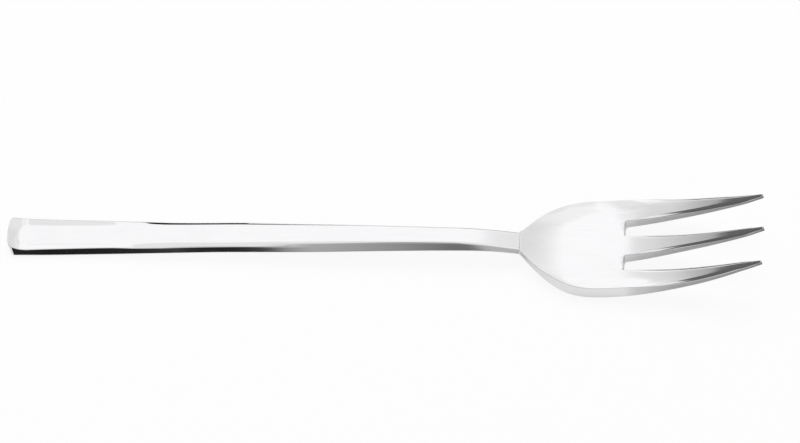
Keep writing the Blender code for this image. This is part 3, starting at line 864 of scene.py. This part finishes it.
def polished_steel(name, colour, roughness, grain, weld_painted_shade=0.0):
    """Mirror-polished stainless steel.

    Fine hairlines and streaks from the polishing wheel run along the piece. Over them lie fingerprints and
    wiping marks, seen only where they catch the light, and the rubbed edges are paler and more matt. The
    cut walls are more matt, and their colour is darkened towards the tips as painted shade; the head's
    colour beside the weld is darkened a little as painted shade too.
    """
    material, nodes = new_material(name)
    place = nodes.add("ShaderNodeTexCoord", output="Object")
    hairlines = noise(nodes, place, HAIRLINES_PER_METRE, detail=1.0, stretch=(grain, 1, 1))
    streaks = noise(nodes, place, STREAKS_PER_METRE, detail=3.0, stretch=(grain, 1, 1))
    wiping = noise(nodes, place, WIPING_PER_METRE, detail=4.0, stretch=(WIPING_STRETCH, 1, 1))
    waves = noise(nodes, place, WAVES_PER_METRE, detail=1.0, stretch=(WAVE_STRETCH, 1, 1))
    patches = noise(nodes, place, PATCHES_PER_METRE)
    wall = nodes.add("ShaderNodeAttribute", {"attribute_name": CUT_WALL}, output="Fac")
    marks = {
        "hairlines": hairlines - 0.5,
        "streaks": streaks - 0.5,
        "patches": patches - 0.5,
        "smudges": ((patches - SMUDGE_START) * SMUDGE_GAIN).clamped() * wiping,
        "edges": worn_edges(nodes),
        "cut wall": wall,
    }
    tint = summed(0.5, TINT_SHARES, marks).clamped()
    steel = blended(nodes, tint, shaded(colour, 1 - TINT_SPREAD), shaded(colour, 1 + TINT_SPREAD))
    from_weld = nodes.add("ShaderNodeSeparateXYZ", values={0: place}) - WELD_X
    # painted shade on the head beside the weld, fading out along the head
    weld_shade = weld_painted_shade * (1 - (from_weld / WELD_SHADE_LENGTH).smoothed())
    # painted shade: the walls' colour is darkened towards the tips, and the head's a little beside the weld
    steel = blended(nodes, CUT_WALL_PAINTED_SHADE * wall + weld_shade, steel, (0, 0, 0, 1))
    rolled = nodes.add("ShaderNodeBump", values={
        "Strength": WAVE_STRENGTH, "Distance": WAVE_DEPTH, "Height": waves,
    })
    brushed = nodes.add("ShaderNodeBump", values={
        "Strength": HAIRLINE_STRENGTH, "Distance": HAIRLINE_DEPTH, "Height": hairlines, "Normal": rolled,
    })
    shader = nodes.add("ShaderNodeBsdfPrincipled", values={
        "Base Color": steel, "Metallic": 1.0, "Roughness": summed(roughness, ROUGHNESS_SHARES, marks),
        "Normal": brushed,
    })
    nodes.add("ShaderNodeOutputMaterial", values={"Surface": shader})
    return material


# Studio

def light_path_share(nodes):
    """1 for the rays that show the background: from the camera, off metal and through glass."""
    path = nodes.add("ShaderNodeLightPath", output="Is Camera Ray")
    glossy, through = nodes.outputs(path, "Is Glossy Ray", "Is Transmission Ray")
    return path.at_least(glossy).at_least(through)


def make_floor():
    """Plain pale floor, open from below so that the underside can be looked at."""
    mesh = bmesh.new()
    bmesh.ops.create_grid(mesh, x_segments=1, y_segments=1, size=FLOOR_REACH)
    floor = new_object("floor", mesh)
    floor.location.z = -FLOOR_GAP
    material, nodes = new_material("pale floor")
    camera = nodes.add("ShaderNodeLightPath", output="Is Camera Ray")
    lit = nodes.add("ShaderNodeBsdfDiffuse", values={"Color": FLOOR_COLOUR})
    white = nodes.add("ShaderNodeEmission", values={"Color": WHITE, "Strength": 1.0})
    whiteness = camera * (FLOOR_WHITENESS - FLOOR_WHITENESS_MIRRORED)
    whiteness = whiteness + light_path_share(nodes) * FLOOR_WHITENESS_MIRRORED
    surface = nodes.add("ShaderNodeMixShader", values={0: whiteness, 1: lit, 2: white})
    clear = nodes.add("ShaderNodeBsdfTransparent")
    from_below = nodes.add("ShaderNodeNewGeometry", output="Backfacing")
    open_below = nodes.add("ShaderNodeMixShader", values={0: from_below, 1: surface, 2: clear})
    nodes.add("ShaderNodeOutputMaterial", values={"Surface": open_below})
    floor.data.materials.append(material)


def make_world():
    """White surroundings for the camera and the steel, and an even fill light for the rest."""
    world = bpy.data.worlds.new("studio")
    world.use_nodes = True
    bpy.context.scene.world = world
    nodes = Nodes(world.node_tree)
    strength = mix(FILL_LIGHT, 1.0, light_path_share(nodes))
    background = nodes.add("ShaderNodeBackground", values={"Color": WHITE, "Strength": strength})
    nodes.add("ShaderNodeOutputWorld", values={"Surface": background})


def card_material(name, corner, across, up, greys, fades):
    """A glow that runs through its greys up the card and fades out towards the four sides."""
    material, nodes = new_material(name)
    place = nodes.add("ShaderNodeTexCoord", output="Object")
    from_corner = nodes.add("ShaderNodeVectorMath", {"operation": "SUBTRACT"}, {0: place, 1: corner})
    inside = 1
    for edge, fade_start, fade_end in ((across, *fades[:2]), (up, *fades[2:])):
        along = nodes.add("ShaderNodeVectorMath", {"operation": "DOT_PRODUCT"},
                          {0: from_corner, 1: edge.normalized()}, output="Value")
        inside = inside * (along / fade_start).smoothed() * ((edge.length - along) / fade_end).smoothed()
    stops = greys if isinstance(greys, list) else [(0, greys)]
    grey = nodes.add("ShaderNodeValToRGB", {"stops": stops}, {"Fac": along / up.length})
    glow = nodes.add("ShaderNodeEmission", values={"Color": grey, "Strength": 1.0})
    clear = nodes.add("ShaderNodeBsdfTransparent")
    mixed = nodes.add("ShaderNodeMixShader", values={0: inside, 1: clear, 2: glow})
    nodes.add("ShaderNodeOutputMaterial", values={"Surface": mixed})
    return material


def make_card(name, corner, across, up, greys, fades):
    """A flat card round the set that only the steel sees.

    It spans two square edges from its corner. It has one grey, or stops up the card: pairs of height share
    and grey. It fades out over a width along each of its four sides: start and end across, bottom and top.
    """
    corner, across, up = Vector(corner), Vector(across), Vector(up)
    mesh = bmesh.new()
    points = (corner, corner + across, corner + across + up, corner + up)
    mesh.faces.new([mesh.verts.new(point) for point in points])
    card = new_object(name, mesh)
    card.visible_camera = False
    card.visible_diffuse = False
    card.visible_shadow = False
    card.visible_transmission = False
    card.data.materials.append(card_material(name, corner, across, up, greys, fades))


def make_cards():
    """The parts of the studio that the steel mirrors: a white window behind, greys and darks round it."""
    # Behind the fork
    make_card("far_window", (-1.14, 3, 1.5), (2.06, 0, 0), (0, 0, 6.6), 1.2, (0.16, 0.52, 0.3, 2.0))
    make_card("far_high", (-0.24, 0.6, 0.93), (0.14, 0, 0), (0, 0, 0.7), 1.2, (0.04, 0.03, 0.05, 0.15))
    make_card("far_low", (-3.0, 3.1, 0), (3.0, 0, 0), (0, 0, 1.8), 0.6, (0.4, 0.4, 0.01, 0.4))
    make_card("far_dark", (-0.18, 0.5, 0), (0.13, 0, 0), (0, 0, 0.29), 0.03, (0.02, 0.03, 0.001, 0.05))

    # To the right, past the tines
    make_card("right_low", (-0.3, 3.1, 0), (3.3, 0, 0), (0, 0, 1.35), 0.12, (0.3, 0.4, 0.01, 0.3))
    make_card("right_grey", (0.78, 2.9, 0.6), (2.0, 0, 0), (0, 0, 3.9), 0.92, (0.35, 0.6, 0.4, 1.4))
    make_card("right_high", (0.65, 2.9, 3.9), (2.7, 0, 3.22), (-1.99, 0, 1.67), 1.1, (0.5, 0.8, 0.5, 0.6))

    # To the left, past the handle's end
    left_greys = [(0, 1.02), (0.4, 0.82), (1, 0.45)]
    make_card("left_grey", (-0.61, 2.95, 2.27), (-0.8, 0, 2.985), (-1.024, 0, -0.274), left_greys,
              (0.3, 1.1, 0.12, 0.08))
    make_card("left_high", (-2.1, 2.9, 3.4), (0.95, 0, 0), (0, 0, 3.0), 0.82, (0.1, 0.3, 0.6, 1.4))
    make_card("left_wall", (-2.6, -2.5, 0), (0, 6.9, 0), (0, 0, 8.5), 0.14, (0.8, 0.2, 0.01, 1.5))

    # In front
    near_greys = [(0, 0.12), (0.1, 0.2), (0.16, 0.3), (0.22, 0.4), (0.4, 0.8), (0.8, 0.95)]
    make_card("near_wall", (1.2, -3, 0), (-2.4, 0, 0), (0, 0, 8.0), near_greys, (0.35, 0.35, 0.01, 2.0))
    make_card("near_left", (-1.0, -3.1, 0), (-2.6, 1.2, 0), (0, 0, 8.5), 0.12, (0.5, 0.3, 0.01, 1.5))
    make_card("near_high", (-0.45, -2.95, 2.7), (0.5, 0, 0), (0, 0, 2.5), 0.08, (0.1, 0.1, 0.3, 0.5))
    make_card("near_right", (0.0, -2.9, 0.3), (1.2, 0, 0), (0, 0, 1.6), 0.56, (0.14, 0.3, 0.2, 0.4))
    make_card("near_dark", (-0.02, -0.6, 0), (-0.5, 0, 0), (0, 0, 0.3), 0.015, (0.1, 0.2, 0.001, 0.2))


def make_lamp():
    """One large soft lamp from above and behind."""
    data = bpy.data.lights.new("softbox", "AREA")
    data.shape = "SQUARE"
    data.size = LAMP_SIZE
    data.energy = LAMP_POWER
    lamp = bpy.data.objects.new("softbox", data)
    bpy.context.scene.collection.objects.link(lamp)
    lamp.location = LAMP_PLACE
    lamp.rotation_mode = "QUATERNION"
    lamp.rotation_quaternion = (-LAMP_PLACE).to_track_quat("-Z", "Y")
    lamp.visible_camera = False
    lamp.visible_glossy = False


def make_camera():
    """Camera at the photograph's viewing angle."""
    elevation = math.radians(CAMERA_ELEVATION)
    azimuth = math.radians(CAMERA_AZIMUTH)
    roll = math.radians(CAMERA_ROLL)
    level_back = Vector((math.sin(azimuth), -math.cos(azimuth), 0))
    back = level_back * math.cos(elevation) + Vector((0, 0, math.sin(elevation)))
    right = Vector((math.cos(azimuth), math.sin(azimuth), 0))
    up = back.cross(right)
    turned_right = right * math.cos(roll) - up * math.sin(roll)
    turned_up = right * math.sin(roll) + up * math.cos(roll)
    data = bpy.data.cameras.new("camera")
    data.sensor_width = SENSOR_WIDTH
    data.lens = SENSOR_WIDTH * PIXELS_PER_METRE * CAMERA_DISTANCE / IMAGE_WIDTH
    data.clip_start = 0.05
    data.clip_end = 20
    camera = bpy.data.objects.new("camera", data)
    bpy.context.scene.collection.objects.link(camera)
    place = Matrix((turned_right, turned_up, back)).transposed().to_4x4()
    place.translation = CAMERA_TARGET + back * CAMERA_DISTANCE
    camera.matrix_world = place
    bpy.context.scene.camera = camera


def main():
    """Set up the studio and dress the two pieces."""
    bpy.context.scene.view_settings.view_transform = "Standard"
    make_world()
    make_floor()
    make_lamp()
    make_cards()
    make_camera()

    handle = make_handle(polished_steel("handle steel", HANDLE_COLOUR, HANDLE_ROUGHNESS, HANDLE_GRAIN))
    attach(handle, "root")
    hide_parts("handle")
    head = make_head(polished_steel("head steel", HEAD_COLOUR, HEAD_ROUGHNESS, HEAD_GRAIN, WELD_PAINTED_SHADE))
    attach(head, "root")
    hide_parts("head")


main()
